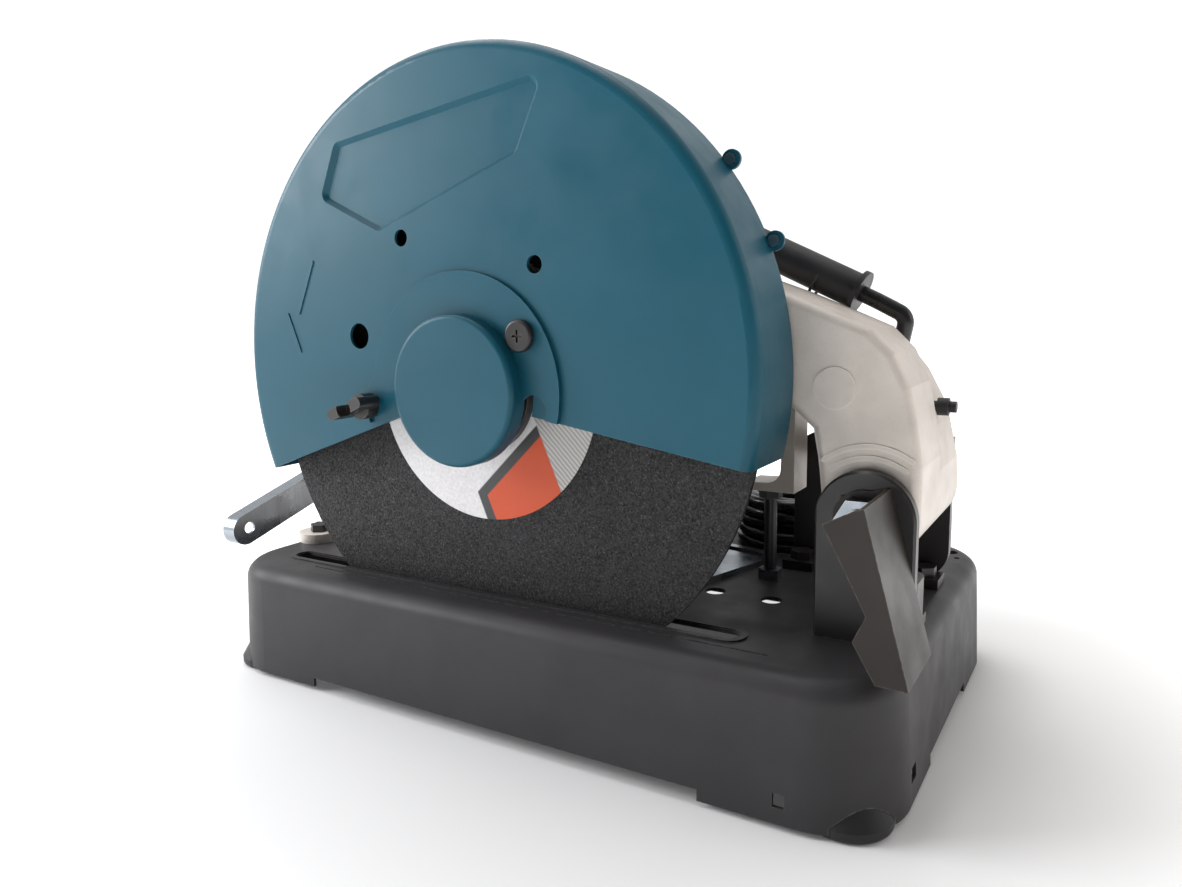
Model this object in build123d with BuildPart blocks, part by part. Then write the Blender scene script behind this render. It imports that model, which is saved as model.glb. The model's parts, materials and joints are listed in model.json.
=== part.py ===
"""Abrasive chop saw for steel: pressed base, quick vise, hinged motor head, guard and 355 mm wheel.

Frame: origin on the floor under the middle of the base, +X towards the wheel side (the operator's
right), +Y towards the rear pivot, +Z up. Millimetres. Side profiles are drawn on planes of constant X,
where a sketch point is (y, z).
"""

from build123d import *
import os
from math import atan, cos, degrees, pi, radians, sin, sqrt, tan

os.makedirs("parts", exist_ok=True)

# ---- driving dimensions --------------------------------------------------------------------------
base_length, base_width, base_height = 470.6, 294.7, 77.0
sheet = 2.0  # pressed steel of the base
skirt_low = 3.0  # lowest edge of the skirt, at the corners
skirt_relief = 6.0  # how much higher the skirt ends between the corners
draft = 2.56  # slope of the skirt, degrees
corner_r, top_r = 45.0, 12.0
lug_z, lug_span = 22.0, 52.0  # turned-in corner lugs that carry the feet
foot_r, foot_x, foot_y = 22.0, 122.0, 210.0  # rubber corner feet, a little proud of the corners
foot_neck_r, foot_rim = 15.0, 6.0
bench_hole_r = 4.5

pivot_y, pivot_z = 204.0, 142.0  # axis that the head lifts about
shaft_r = 8.0
running = 0.05  # radial clearance of a running fit

wheel_r, wheel_t = 177.5, 3.0
wheel_y, wheel_z = -18.0, 205.0  # spindle axis, head down
wheel_x = 106.2  # inner face of the wheel

gear_module, gear_teeth, pinion_teeth = 1.5, 56, 14
centre_distance = gear_module * (gear_teeth + pinion_teeth) / 2
motor_angle = 50.0  # motor axis, seen from the spindle, above the rear horizontal
motor_y = wheel_y + centre_distance * cos(radians(motor_angle))
motor_z = wheel_z + centre_distance * sin(radians(motor_angle))
spindle_axis = (wheel_y, wheel_z)
motor_axis = (motor_y, motor_z)

guard_y, guard_z, guard_r = -21.0, 213.0, 185.0
guard_back_x, guard_face_x, guard_wall = 80.0, 126.5, 2.0
guard_apex = (-26.0, 201.0)
guard_front_angle, guard_rear_angle = 198.9, -9.5  # open edges of the guard, about its apex

arm_near_x, arm_split_x, arm_far_x = 75.0, 25.0, -38.0
hub_r = 25.0

fence_y = 45.0  # working face of the guide plate
fence_low, fence_top = base_height + 0.1, 127.0
fence_bolts = [(41.0, 68.0), (-41.0, 68.0)]
fence_swing = 24.0

screw_z = 110.0  # vise screw, along Y at x = 0
jaw_y = 9.0
crank_y = -273.0

cord_d = 7.6
coil_x, coil_y, coil_r = -96.0, 112.0, 38.0  # middle of the turns
coil_layers = 5
gland_y, gland_z, gland_end_x = 186.0, 200.0, -73.0

handle_x, handle_half = -45.0, 17.0
housing_r, housing_wall = 52.0, 3.5


def side(x):
    """The plane at this x, where a sketch point is (y, z)."""
    return Plane.YZ.offset(x)


def polar(centre, radius, angle):
    return (centre[0] + radius * cos(radians(angle)), centre[1] + radius * sin(radians(angle)))


def bolt(shank_r, length, head_r, head_h, corners=6):
    """A bolt standing head up on z = 0; corners=0 gives a round head."""
    with BuildPart() as item:
        with BuildSketch():
            if corners:
                RegularPolygon(head_r, corners)
            else:
                Circle(head_r)
        extrude(amount=head_h)
        with BuildSketch():
            Circle(shank_r)
        extrude(amount=-length)
    return item.part


def turned(steps, centre):
    """A shaft along X: steps of (from x, to x, radius) about this centre, one solid."""
    with BuildPart() as shaft:
        for start, end, radius in steps:
            with BuildSketch(side(start)):
                with Locations(centre):
                    Circle(radius)
            extrude(amount=end - start)
    return shaft.part


def save(builder, name):
    builder.part.label = name
    export_step(builder.part, f"parts/{name}.step")


ear_bolt_places = [(45, pivot_y - 14), (45, pivot_y + 14), (-33, 134), (-33, 212)]
holder_bolt_places = [(69, -214), (-69, -214)]
stop_y, stop_top = 124.0, 136.0
wheel_slot, slot_length, slot_width = (105.5, -24.5), 341.0, 13.0


# ---- base ----------------------------------------------------------------------------------------
def foot_form(gap):
    """One corner foot, flared at the bottom, or with a gap the space it needs."""
    with BuildPart() as form:
        with BuildSketch(Plane.XZ):
            with BuildLine():
                Polyline(
                    (0, 0), (foot_r + gap, 0), (foot_r + gap, foot_rim), (foot_neck_r + gap, foot_rim + 12),
                    (foot_neck_r + gap, lug_z), (0, lug_z), close=True,
                )
            make_face()
        revolve(axis=Axis.Z)
    return form.part


with BuildPart() as base_inside:
    with BuildSketch(Plane.XY.offset(skirt_low)):
        RectangleRounded(base_width - 2 * sheet, base_length - 2 * sheet, corner_r - sheet)
    extrude(amount=base_height - sheet - skirt_low, taper=draft)
    fillet(base_inside.faces().sort_by(Axis.Z)[-1].edges(), radius=top_r - sheet)

with BuildPart() as base_shell:
    with BuildSketch(Plane.XY.offset(skirt_low)):
        RectangleRounded(base_width, base_length, corner_r)
    extrude(amount=base_height - skirt_low, taper=draft)
    fillet(base_shell.faces().sort_by(Axis.Z)[-1].edges(), radius=top_r)
    add(base_inside.part, mode=Mode.SUBTRACT)
    with Locations((0, 0, skirt_low)):
        Box(base_width + 10, base_length - 190, 2 * skirt_relief, mode=Mode.SUBTRACT)
        Box(base_width - 190, base_length + 10, 2 * skirt_relief, mode=Mode.SUBTRACT)
    with BuildSketch(Plane.XY.offset(lug_z)):
        RectangleRounded(base_width - sheet, base_length - sheet, corner_r - sheet / 2)
        Rectangle(base_width, base_length - 2 * lug_span, mode=Mode.SUBTRACT)
        Rectangle(base_width - 2 * lug_span, base_length, mode=Mode.SUBTRACT)
    extrude(amount=sheet)
    with GridLocations(2 * foot_x, 2 * foot_y, 2, 2):
        add(foot_form(0.2), mode=Mode.SUBTRACT)
        Cylinder(bench_hole_r, 3 * lug_z, mode=Mode.SUBTRACT)
    with BuildSketch(Plane.XY.offset(base_height)):
        with Locations(wheel_slot):
            SlotOverall(slot_length, slot_width, rotation=90)
        with Locations((41, 104), (41, 140), (-41, 104), (-41, 140)):
            Circle(6.3)
        with Locations(*fence_bolts, *ear_bolt_places, *holder_bolt_places, (0, stop_y)):
            Circle(4.2)
        with Locations((-113, 214)):
            Circle(4.5)
        with Locations((-100, 220)):
            Circle(2)
    extrude(amount=-2 * sheet, mode=Mode.SUBTRACT)
    with BuildSketch(Plane.XY.offset(base_height)):
        with Locations(wheel_slot):
            SlotOverall(slot_length + 8, slot_width + 8, rotation=90)
            SlotOverall(slot_length + 1, slot_width + 1, rotation=90, mode=Mode.SUBTRACT)
    extrude(amount=0.9)
    with BuildSketch(Plane.XY.offset(base_height)):
        with Locations((122, 4)):
            Rectangle(1.6, 328)
    extrude(amount=-0.7, mode=Mode.SUBTRACT)
    with Locations((base_width / 2, 183, 15)):
        Box(20, 6, 7, mode=Mode.SUBTRACT)
    with Locations((93, base_length / 2, 18)):
        Box(10, 20, 8, mode=Mode.SUBTRACT)
save(base_shell, "base_shell")

with BuildPart() as rubber_feet:
    with GridLocations(2 * foot_x, 2 * foot_y, 2, 2):
        add(foot_form(0))
    fillet(rubber_feet.edges().filter_by(GeomType.CIRCLE).group_by(Axis.Z)[0], radius=3)
    with GridLocations(2 * foot_x, 2 * foot_y, 2, 2):
        Cylinder(bench_hole_r, 4 * lug_z, mode=Mode.SUBTRACT)
save(rubber_feet, "rubber_feet")

# ---- pivot ears, shaft and stop ------------------------------------------------------------------
ear_t, ear_near_x, ear_far_x = 7.0, 77.0, -50.0
ear_w = 51.0

with BuildPart() as near_ear:
    with BuildSketch(side(ear_near_x)):
        with Locations((pivot_y, (base_height + pivot_z) / 2)):
            Rectangle(ear_w, pivot_z - base_height)
        with Locations((pivot_y, pivot_z)):
            Circle(ear_w / 2)
            Circle(shaft_r, mode=Mode.SUBTRACT)
    extrude(amount=ear_t)
    with BuildSketch(Plane.XY.offset(base_height)):
        with Locations((67.5, pivot_y)):
            RectangleRounded(33, ear_w, 10)
            with Locations((-4, 0)):
                RectangleRounded(30, ear_w - 10, 6, mode=Mode.SUBTRACT)
    extrude(amount=33)
    with Locations((59.5, pivot_y, base_height + 3)):
        Box(49, ear_w - 6, 6)
    with Locations(*[(x, y, base_height) for x, y in ear_bolt_places[:2]]):
        Cylinder(4.2, 20, mode=Mode.SUBTRACT)
    edge = near_ear.faces().sort_by(Axis.X)[-1].edges().filter_by(GeomType.CIRCLE).sort_by(Axis.Z)[-1]
    chamfer(edge, length=1.2)
save(near_ear, "near_ear")

with BuildPart() as far_ear:
    with BuildSketch(side(ear_far_x)) as far_profile:
        with BuildLine():
            Polyline((125, base_height), (125, 168), (pivot_y + 20, 168), (pivot_y + 20, base_height), close=True)
        make_face()
        fillet(far_profile.vertices().sort_by(Axis.Z)[-2:], radius=20)
        with Locations((171, 101)):
            RectangleRounded(56, 28, 6, mode=Mode.SUBTRACT)
        with Locations((160, 137)):
            RectangleRounded(30, 30, 6, mode=Mode.SUBTRACT)
        with Locations((pivot_y, pivot_z)):
            Circle(shaft_r, mode=Mode.SUBTRACT)
    extrude(amount=ear_t)
    with Locations((-33, 134, base_height + 3), (-33, 212, base_height + 3)):
        Box(20, 20, 6)
    with Locations(*[(x, y, base_height) for x, y in ear_bolt_places[2:]]):
        Cylinder(4.2, 20, mode=Mode.SUBTRACT)
save(far_ear, "far_ear")


m8_bolt = bolt(4, 16, 7.5, 5.5)

with BuildPart() as base_bolts:
    with Locations(*[(x, y, base_height + 6) for x, y in ear_bolt_places]):
        add(m8_bolt)
    with Locations(*[(x, y, base_height + 7) for x, y in holder_bolt_places]):
        add(m8_bolt)
save(base_bolts, "base_bolts")

with BuildPart() as pivot_shaft:
    with BuildSketch(side(-60)):
        with Locations((pivot_y, pivot_z)):
            Circle(shaft_r)
    extrude(amount=156)
save(pivot_shaft, "pivot_shaft")

with BuildPart() as pivot_nuts:
    for x in (-58, 86.6):
        with BuildSketch(side(x)):
            with Locations((pivot_y, pivot_z)):
                RegularPolygon(13.8, 6)
                Circle(shaft_r, mode=Mode.SUBTRACT)
        extrude(amount=7.6)
save(pivot_nuts, "pivot_nuts")

with BuildPart() as depth_stop_bolt:
    with Locations((0, stop_y, stop_top - 6)):
        add(bolt(4, stop_top - 6 - base_height + 9, 7.5, 6))
save(depth_stop_bolt, "depth_stop_bolt")

with BuildPart() as depth_stop_nut:
    with BuildSketch(Plane.XY.offset(base_height)):
        with Locations((0, stop_y)):
            RegularPolygon(7.5, 6)
            Circle(4, mode=Mode.SUBTRACT)
    extrude(amount=6.5)
save(depth_stop_nut, "depth_stop_nut")

# ---- guide plate: an angle whose foot has a hole over one bolt and an arc slot over the other -----
pivot_bolt, slot_bolt = fence_bolts
fence_reach = pivot_bolt[0] - slot_bolt[0]
slot_end = polar(pivot_bolt, fence_reach, 180 - fence_swing)
slot_mid = polar(pivot_bolt, fence_reach, 180 - fence_swing / 2)

with BuildLine() as slot_path:
    ThreePointArc(slot_bolt, slot_mid, slot_end)

with BuildPart() as guide_plate:
    with BuildSketch(Plane.XY.offset(fence_low)) as foot:
        with BuildLine():
            Polyline(
                (-90, fence_y), (85, fence_y), (85, 78), (58, 86), (-20, 110), (-44, 110), (-54, 62), (-90, 58),
                close=True,
            )
        make_face()
        fillet(foot.vertices().group_by(Axis.Y)[-1], radius=10)
        SlotArc(arc=slot_path.wires()[0], height=8.6, mode=Mode.SUBTRACT)
        with Locations(pivot_bolt):
            Circle(4.2, mode=Mode.SUBTRACT)
    extrude(amount=base_height + 4 - fence_low)
    with BuildSketch(Plane.XZ.offset(-fence_y - 4)):
        with Locations((-2.5, (fence_low + fence_top) / 2)):
            Rectangle(175, fence_top - fence_low)
    extrude(amount=4)
    fillet(guide_plate.edges().filter_by(Axis.Y).group_by(Axis.Z)[-1], radius=8)
save(guide_plate, "guide_plate")

with BuildPart() as guide_plate_bolts:
    with Locations(*[(x, y, base_height + 4 + 0.1) for x, y in fence_bolts]):
        add(bolt(4, 14, 8, 6))
save(guide_plate_bolts, "guide_plate_bolts")

# ---- vise: holder bridge, half nut, screw with crank and jaw --------------------------------------
holder_front, holder_back = -237.0, -203.0
screw_r = 7.0
nut_y = (holder_front + holder_back) / 2
nut_pivot, nut_pin_r = (nut_y + 8, screw_z + 18), 2.5

with BuildPart() as vise_holder:
    with BuildSketch(Plane.XZ.offset(-holder_back)) as bridge:
        with BuildLine():
            Polyline(
                (-56, base_height), (56, base_height), (50, base_height + 12), (17, screw_z + 26),
                (-17, screw_z + 26), (-50, base_height + 12), close=True,
            )
        make_face()
        fillet(bridge.vertices().group_by(Axis.Y)[-1], radius=6)
    extrude(amount=holder_back - holder_front)
    with Locations(*[(x, y - 1, base_height + 3.5) for x, y in holder_bolt_places]):
        Cylinder(15, 7)
    with BuildSketch(Plane.XZ.offset(-holder_back)):
        with Locations((0, screw_z)):
            Circle(screw_r + 0.4)
        with Locations((0, screw_z + 20)):
            Rectangle(2 * screw_r + 0.8, 40)
        for mirror_x in (-1, 1):
            with Locations((mirror_x * 31, base_height + 12)):
                Circle(7)
    extrude(amount=holder_back - holder_front, mode=Mode.SUBTRACT)
    with Locations((0, (holder_front + holder_back) / 2, base_height + 3)):
        Box(70, holder_back - holder_front - 10, 12, mode=Mode.SUBTRACT)
    with Locations(*[(x, y, base_height) for x, y in holder_bolt_places]):
        Cylinder(4.2, 30, mode=Mode.SUBTRACT)
    add(turned([(-20, 20, nut_pin_r + running)], nut_pivot), mode=Mode.SUBTRACT)
save(vise_holder, "vise_holder")

with BuildPart() as vise_nut:
    with Locations((0, nut_y, screw_z + 13)):
        Box(13, 20, 20)
    with BuildSketch(Plane.XZ.offset(-nut_y - 10)):
        with Locations((0, screw_z)):
            Circle(screw_r + 0.3)
    extrude(amount=20, mode=Mode.SUBTRACT)
    with BuildSketch(side(-6.5)):
        with BuildLine():
            Polyline(
                (nut_y + 10, screw_z + 19), (nut_y - 10, screw_z + 19), (nut_y - 24, screw_z + 26),
                (nut_y - 26, screw_z + 31), (nut_y - 6, screw_z + 27), (nut_y + 10, screw_z + 25), close=True,
            )
        make_face()
    extrude(amount=13)
    add(turned([(-16, 16, nut_pin_r)], nut_pivot))
save(vise_nut, "vise_nut")

with BuildPart() as vise_jaw:
    with Locations((0, jaw_y - 3, 102)):
        Box(60, 6, 48)
    fillet(vise_jaw.edges().filter_by(Axis.Y), radius=6)
    with Locations((0, jaw_y - 3 - 12.5, 81)):
        Box(44, 19, 6)
    with BuildSketch(Plane.XZ.offset(-jaw_y + 6)):
        with Locations((0, screw_z)):
            Circle(13)
    extrude(amount=16)
    with BuildSketch(Plane.XZ.offset(-jaw_y + 10)):
        with Locations((0, screw_z)):
            Circle(screw_r - 1 + running)
    extrude(amount=30, mode=Mode.SUBTRACT)
save(vise_jaw, "vise_jaw")

screw_nose = jaw_y - 10 - 0.2
with BuildPart() as vise_screw:
    with BuildSketch(Plane.XZ.offset(-screw_nose)):
        with Locations((0, screw_z)):
            Circle(screw_r - 1)
    extrude(amount=18)
    with BuildSketch(Plane.XZ.offset(-screw_nose + 14)):
        with Locations((0, screw_z)):
            Circle(screw_r)
    extrude(amount=screw_nose - 14 - crank_y)
    with BuildSketch(Plane.XZ.offset(-crank_y)):
        with Locations((0, screw_z)):
            Rectangle(8, 8)
    extrude(amount=12)
    with BuildSketch(Plane.XZ.offset(-crank_y + 12)):
        with Locations((0, screw_z)):
            Circle(7)
    extrude(amount=3)
    fillet(vise_screw.edges().sort_by(Axis.Y)[0], radius=2)
save(vise_screw, "vise_screw")

crank_reach, crank_drop = 90.0, 27.0
crank_angle = degrees(atan(crank_drop / crank_reach))
crank_length = sqrt(crank_reach**2 + crank_drop**2)
crank_plane = Plane(origin=(0, crank_y, screw_z), x_dir=(crank_reach, 0, -crank_drop), z_dir=(0, -1, 0))
with BuildPart() as crank:
    with BuildSketch(crank_plane):
        with Locations((crank_length / 2, 0)):
            SlotOverall(crank_length + 26, 24)
    extrude(amount=13)
    with BuildSketch(crank_plane.offset(2.5)):
        with Locations((crank_length / 2, 0)):
            SlotOverall(crank_length + 21, 19)
    extrude(amount=13, mode=Mode.SUBTRACT)
    with BuildSketch(crank_plane):
        Circle(10)
    extrude(amount=12)
    with BuildSketch(crank_plane):
        Rectangle(8, 8, rotation=crank_angle)
        with Locations((crank_length - 2, 0)):
            Circle(4.5)
    extrude(amount=13, mode=Mode.SUBTRACT)
save(crank, "crank")

# ---- carry handle: bent rod with a grip ------------------------------------------------------------
with BuildPart() as housing_space:
    add(turned([(handle_x - 40, arm_split_x + 10, housing_r)], motor_axis))

rod_x, rod_r = 16.0, 4.5
grip_low, grip_high = (190.0, 252.0), (60.0, 315.0)
grip_plane_x = Vector(0, grip_high[0] - grip_low[0], grip_high[1] - grip_low[1]).normalized()

with BuildPart() as carry_rod:
    with BuildLine(side(rod_x)) as rod_line:
        FilletPolyline((201, 212), (207, 243), grip_low, grip_high, (44, 322), (34, 292), radius=7)
    with BuildSketch(Plane(origin=rod_line.line @ 0, z_dir=rod_line.line % 0)):
        Circle(rod_r)
    sweep()
    add(housing_space.part, mode=Mode.SUBTRACT)
save(carry_rod, "carry_rod")

with BuildPart() as carry_grip:
    grip_start = Vector(rod_x, *grip_low) + grip_plane_x * 9
    grip_plane = Plane(origin=grip_start, z_dir=grip_plane_x)
    with BuildSketch(grip_plane):
        Circle(10)
        Circle(rod_r, mode=Mode.SUBTRACT)
    extrude(amount=122)
    with BuildSketch(grip_plane, grip_plane.offset(119)):
        Circle(12.5)
        Circle(rod_r, mode=Mode.SUBTRACT)
    extrude(amount=3)
save(carry_grip, "carry_grip")

# ---- arm: near casting with the gear chamber, far cover, gear cover ---------------------------------
ridge_paths = {}  # raised ribs of the casting round the ear
for ridge_r in (31, 37):
    with BuildLine() as ridge_paths[ridge_r]:
        CenterArc((0, 0), ridge_r, 55, 75)

with BuildPart() as arm_casting:
    with BuildSketch(side(arm_split_x)):
        with BuildLine():
            Polyline(
                (40, 290), (90, 282), (130, 267), (157, 257), (181, 247), (202, 238), (214, 226), (222, 209),
                (226, 189), (229, 169), (229, 142), (pivot_y, 142), (179, 142), (176, 170), (173, 186), (161, 197),
                (118, 192), (60, 186), (20, 178), (20, 250), close=True,
            )
        make_face()
        with Locations((wheel_y, wheel_z)):
            Circle(52)
        with Locations((motor_y, motor_z)):
            Circle(54)
        with Locations((pivot_y, pivot_z)):
            Circle(hub_r)
    extrude(amount=arm_near_x - arm_split_x)
    fillet(arm_casting.faces().sort_by(Axis.X)[-1].edges(), radius=5)
    with BuildSketch(side(arm_split_x)):
        with BuildLine():
            Polyline(
                (78, 277), (125, 262), (155, 248), (178, 240), (196, 231), (206, 219), (213, 204), (217, 186),
                (200, 176), (184, 186), (166, 206), (118, 204), (78, 200), close=True,
            )
        make_face()
    extrude(amount=arm_near_x - arm_split_x - 6, mode=Mode.SUBTRACT)
    with BuildSketch(side(38)):
        with Locations((wheel_y, wheel_z)):
            Circle(46)
        with Locations((motor_y, motor_z)):
            Circle(30)
    extrude(amount=40, mode=Mode.SUBTRACT)
    with BuildSketch(side(27)):
        with Locations((wheel_y, wheel_z)):
            Circle(16)
    extrude(amount=20, mode=Mode.SUBTRACT)
    with BuildSketch(side(arm_split_x)):
        with Locations((motor_y, motor_z)):
            Circle(16)
        with Locations((pivot_y, pivot_z)):
            Circle(shaft_r + running)
        with Locations((wheel_y - 30, wheel_z)):
            Circle(4 + 0.1)
    extrude(amount=60, mode=Mode.SUBTRACT)
    with BuildSketch(side(arm_near_x)):
        with Locations((185, 208)):
            Circle(11)
        for ridge_r in (31, 37):
            with Locations((pivot_y, pivot_z)):
                SlotArc(arc=ridge_paths[ridge_r].wires()[0], height=2.6, rotation=0)
    extrude(amount=0.9)
save(arm_casting, "arm_casting")

cover_depth = arm_split_x - arm_far_x
with BuildPart() as arm_cover:
    with BuildSketch(side(arm_far_x)):
        with BuildLine():
            Polyline(
                (104, 258), (130, 256), (157, 250), (183, 237), (198, 226), (210, 211), (219, 194), (223, 182),
                (228, 159), (229, 142), (179, 142), (176, 170), (161, 190), (104, 196), close=True,
            )
        make_face()
        with Locations((pivot_y, pivot_z)):
            Circle(hub_r)
    extrude(amount=cover_depth)
    fillet(arm_cover.faces().sort_by(Axis.X)[0].edges(), radius=5)
    with BuildSketch(side(arm_split_x)):
        with BuildLine():
            Polyline(
                (110, 252), (130, 250), (155, 244), (179, 232), (193, 221), (204, 207), (213, 190),
                (217, 176), (184, 176), (166, 196), (110, 202), close=True,
            )
        make_face()
        with Locations((pivot_y, pivot_z)):
            Circle(20)
    extrude(amount=-cover_depth + 6, mode=Mode.SUBTRACT)
    with BuildSketch(side(arm_far_x - 5)):
        with Locations((pivot_y, pivot_z)):
            Circle(shaft_r + running)
    extrude(amount=30, mode=Mode.SUBTRACT)
    with BuildSketch(side(arm_far_x - 5)):
        with Locations((gland_y, gland_z)):
            Circle(6)
    extrude(amount=20, mode=Mode.SUBTRACT)
    with BuildSketch(side(-12)) as stop_web:
        with BuildLine():
            Polyline(
                (112, stop_top + 5), (134, stop_top + 6), (136, 200), (143, 200), (143, stop_top + 0.1),
                (112, stop_top + 0.1), close=True,
            )
        make_face()
        fillet(stop_web.vertices().sort_by(Axis.X)[2], radius=9)
    extrude(amount=24)
    add(carry_rod.part, mode=Mode.SUBTRACT)
save(arm_cover, "arm_cover")

spring_wire, spring_r, spring_turns, spring_pitch = 3.6, 14.5, 8, 5.4
with BuildPart() as return_spring:
    with BuildLine():
        spring_path = Helix(
            spring_pitch, spring_turns * spring_pitch, spring_r,
            center=(-29, pivot_y, pivot_z), direction=(1, 0, 0),
        )
    with BuildSketch(Plane(origin=spring_path @ 0, z_dir=spring_path % 0)):
        Circle(spring_wire / 2)
    sweep(is_frenet=True)
save(return_spring, "return_spring")

with BuildPart() as rear_bumper:
    with BuildSketch(Plane.XZ.offset(-219)):
        with Locations((0, 192)):
            Circle(3.2)
    extrude(amount=-13)
    with BuildSketch(Plane.XZ.offset(-222)):
        with Locations((0, 192)):
            Circle(5)
    extrude(amount=-6)
    add(arm_cover.part, mode=Mode.SUBTRACT)
save(rear_bumper, "rear_bumper")

cover_x, cover_t = arm_near_x, 5.0
with BuildPart() as gear_cover:
    with BuildSketch(side(cover_x)):
        with Locations((wheel_y, wheel_z)):
            Circle(52)
        with Locations((motor_y, motor_z)):
            Circle(38)
    extrude(amount=cover_t)
    with BuildSketch(side(62)):
        with Locations((wheel_y, wheel_z)):
            Circle(28)
    extrude(amount=cover_x - 62)
    with BuildSketch(side(62)):
        with Locations((wheel_y, wheel_z)):
            Circle(23.5)
    extrude(amount=14, mode=Mode.SUBTRACT)
    with BuildSketch(side(62)):
        with Locations((wheel_y, wheel_z)):
            Circle(17)
    extrude(amount=20, mode=Mode.SUBTRACT)
save(gear_cover, "gear_cover")

# ---- gear train and spindle ------------------------------------------------------------------------
spindle_bolt_r = 5.0


def involute_gear(centre, teeth, middle_tooth_angle, backlash=0.12):
    """Outline of an involute gear about centre, one tooth centred on middle_tooth_angle."""
    pitch_r = gear_module * teeth / 2
    base_r = pitch_r * cos(radians(20))
    tip_r, root_r = pitch_r + 0.8 * gear_module, pitch_r - 1.1 * gear_module
    half_tooth = (pi * gear_module / 2 - backlash) / 2 / pitch_r + tan(radians(20)) - radians(20)
    points = []
    for tooth in range(teeth):
        middle = radians(middle_tooth_angle) + 2 * pi * tooth / teeth
        flank = []
        for step in range(4):
            radius = max(base_r, root_r) + (tip_r - max(base_r, root_r)) * step / 3
            roll = sqrt(max((radius / base_r) ** 2 - 1, 0))
            flank.append((radius, half_tooth - (roll - atan(roll))))
        if root_r < base_r:
            flank.insert(0, (root_r, flank[0][1]))
        points += [(r, middle - a) for r, a in flank] + [(r, middle + a) for r, a in reversed(flank)]
    return [(centre[0] + r * cos(a), centre[1] + r * sin(a)) for r, a in points]


gear_x, gear_face = 44.0, 12.0
with BuildPart() as drive_gear:
    with BuildSketch(side(gear_x)):
        with BuildLine():
            Polyline(*involute_gear((wheel_y, wheel_z), gear_teeth, motor_angle), close=True)
        make_face()
        with Locations((wheel_y, wheel_z)):
            Circle(12, mode=Mode.SUBTRACT)
            with PolarLocations(30, 6, start_angle=180):
                Circle(4.6, mode=Mode.SUBTRACT)
    extrude(amount=gear_face)
save(drive_gear, "drive_gear")



with BuildPart() as spindle:
    add(turned([(27.2, 37.4, 6), (37.4, 61.8, 12), (61.8, 108, 10)], spindle_axis))
    add(turned([(88, 109, spindle_bolt_r)], spindle_axis), mode=Mode.SUBTRACT)
save(spindle, "spindle")

with BuildPart() as inner_flange:
    add(turned([(84, 99, 16), (99, wheel_x, 39), (wheel_x, 108.6, 12.65)], spindle_axis))
    add(turned([(83, 110, 10)], spindle_axis), mode=Mode.SUBTRACT)
save(inner_flange, "inner_flange")

with BuildPart() as abrasive_wheel:
    add(turned([(wheel_x, wheel_x + wheel_t, wheel_r)], spindle_axis))
    add(turned([(wheel_x - 1, wheel_x + wheel_t + 1, 12.7)], spindle_axis), mode=Mode.SUBTRACT)
save(abrasive_wheel, "abrasive_wheel")

label_t = 0.3
flange_x = wheel_x + wheel_t + label_t
with BuildPart() as wheel_label:
    add(turned([(wheel_x + wheel_t, flange_x, 81)], spindle_axis))
    add(turned([(wheel_x, flange_x + 1, 12.7)], spindle_axis), mode=Mode.SUBTRACT)
save(wheel_label, "wheel_label")

with BuildPart() as outer_flange:
    add(turned([(flange_x, flange_x + 6.5, 39), (flange_x + 6.5, flange_x + 8, 20)], spindle_axis))
    add(turned([(flange_x - 1, flange_x + 9, spindle_bolt_r)], spindle_axis), mode=Mode.SUBTRACT)
    fillet(outer_flange.edges().filter_by(GeomType.CIRCLE).sort_by(SortBy.LENGTH)[-1:], radius=1)
save(outer_flange, "outer_flange")

with BuildPart() as wheel_bolt:
    with Locations((flange_x + 8, wheel_y, wheel_z)):
        add(bolt(spindle_bolt_r, 26, 9.2, 6), rotation=(0, 90, 0))
save(wheel_bolt, "wheel_bolt")


def ring_bearing(x, width, outer_r, bore_r, centre):
    """A shielded ball bearing: two rings and the shield between them, as one turned solid."""
    with BuildPart() as ring:
        add(turned([(x, x + width, outer_r)], centre))
        add(turned([(x - 1, x + width + 1, bore_r + running)], centre), mode=Mode.SUBTRACT)
        wall = outer_r - bore_r
        for groove_x in (x, x + width - 0.6):
            with BuildSketch(side(groove_x)):
                with Locations(centre):
                    Circle(outer_r - 0.25 * wall)
                    Circle(bore_r + 0.25 * wall, mode=Mode.SUBTRACT)
            extrude(amount=0.6, mode=Mode.SUBTRACT)
    return ring.part


with BuildPart() as ball_bearings:
    add(ring_bearing(27, 10, 16, 6, spindle_axis))
    add(ring_bearing(62, 14, 23.5, 10, spindle_axis))
    add(ring_bearing(28, 10, 16, 6, motor_axis))
    add(ring_bearing(-125, 9, 15, 6, motor_axis))
save(ball_bearings, "ball_bearings")

# ---- motor ------------------------------------------------------------------------------------------
housing_far_x, cap_far_x = -105.0, -140.0

with BuildPart() as motor_housing:
    add(turned([(housing_far_x, arm_split_x, housing_r)], motor_axis))
    add(turned([(housing_far_x - 1, arm_split_x + 1, housing_r - housing_wall)], motor_axis), mode=Mode.SUBTRACT)
    for slot_angle in range(-60, 61, 15):
        with Locations(Location((4, motor_y, motor_z), (slot_angle, 0, 0))):
            with Locations((0, -housing_r, 0), (0, housing_r, 0)):
                Box(22, 12, 5, mode=Mode.SUBTRACT)
    with Locations((-91, motor_y, motor_z)):
        Cylinder(9, 3 * housing_r, mode=Mode.SUBTRACT)
save(motor_housing, "motor_housing")

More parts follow.
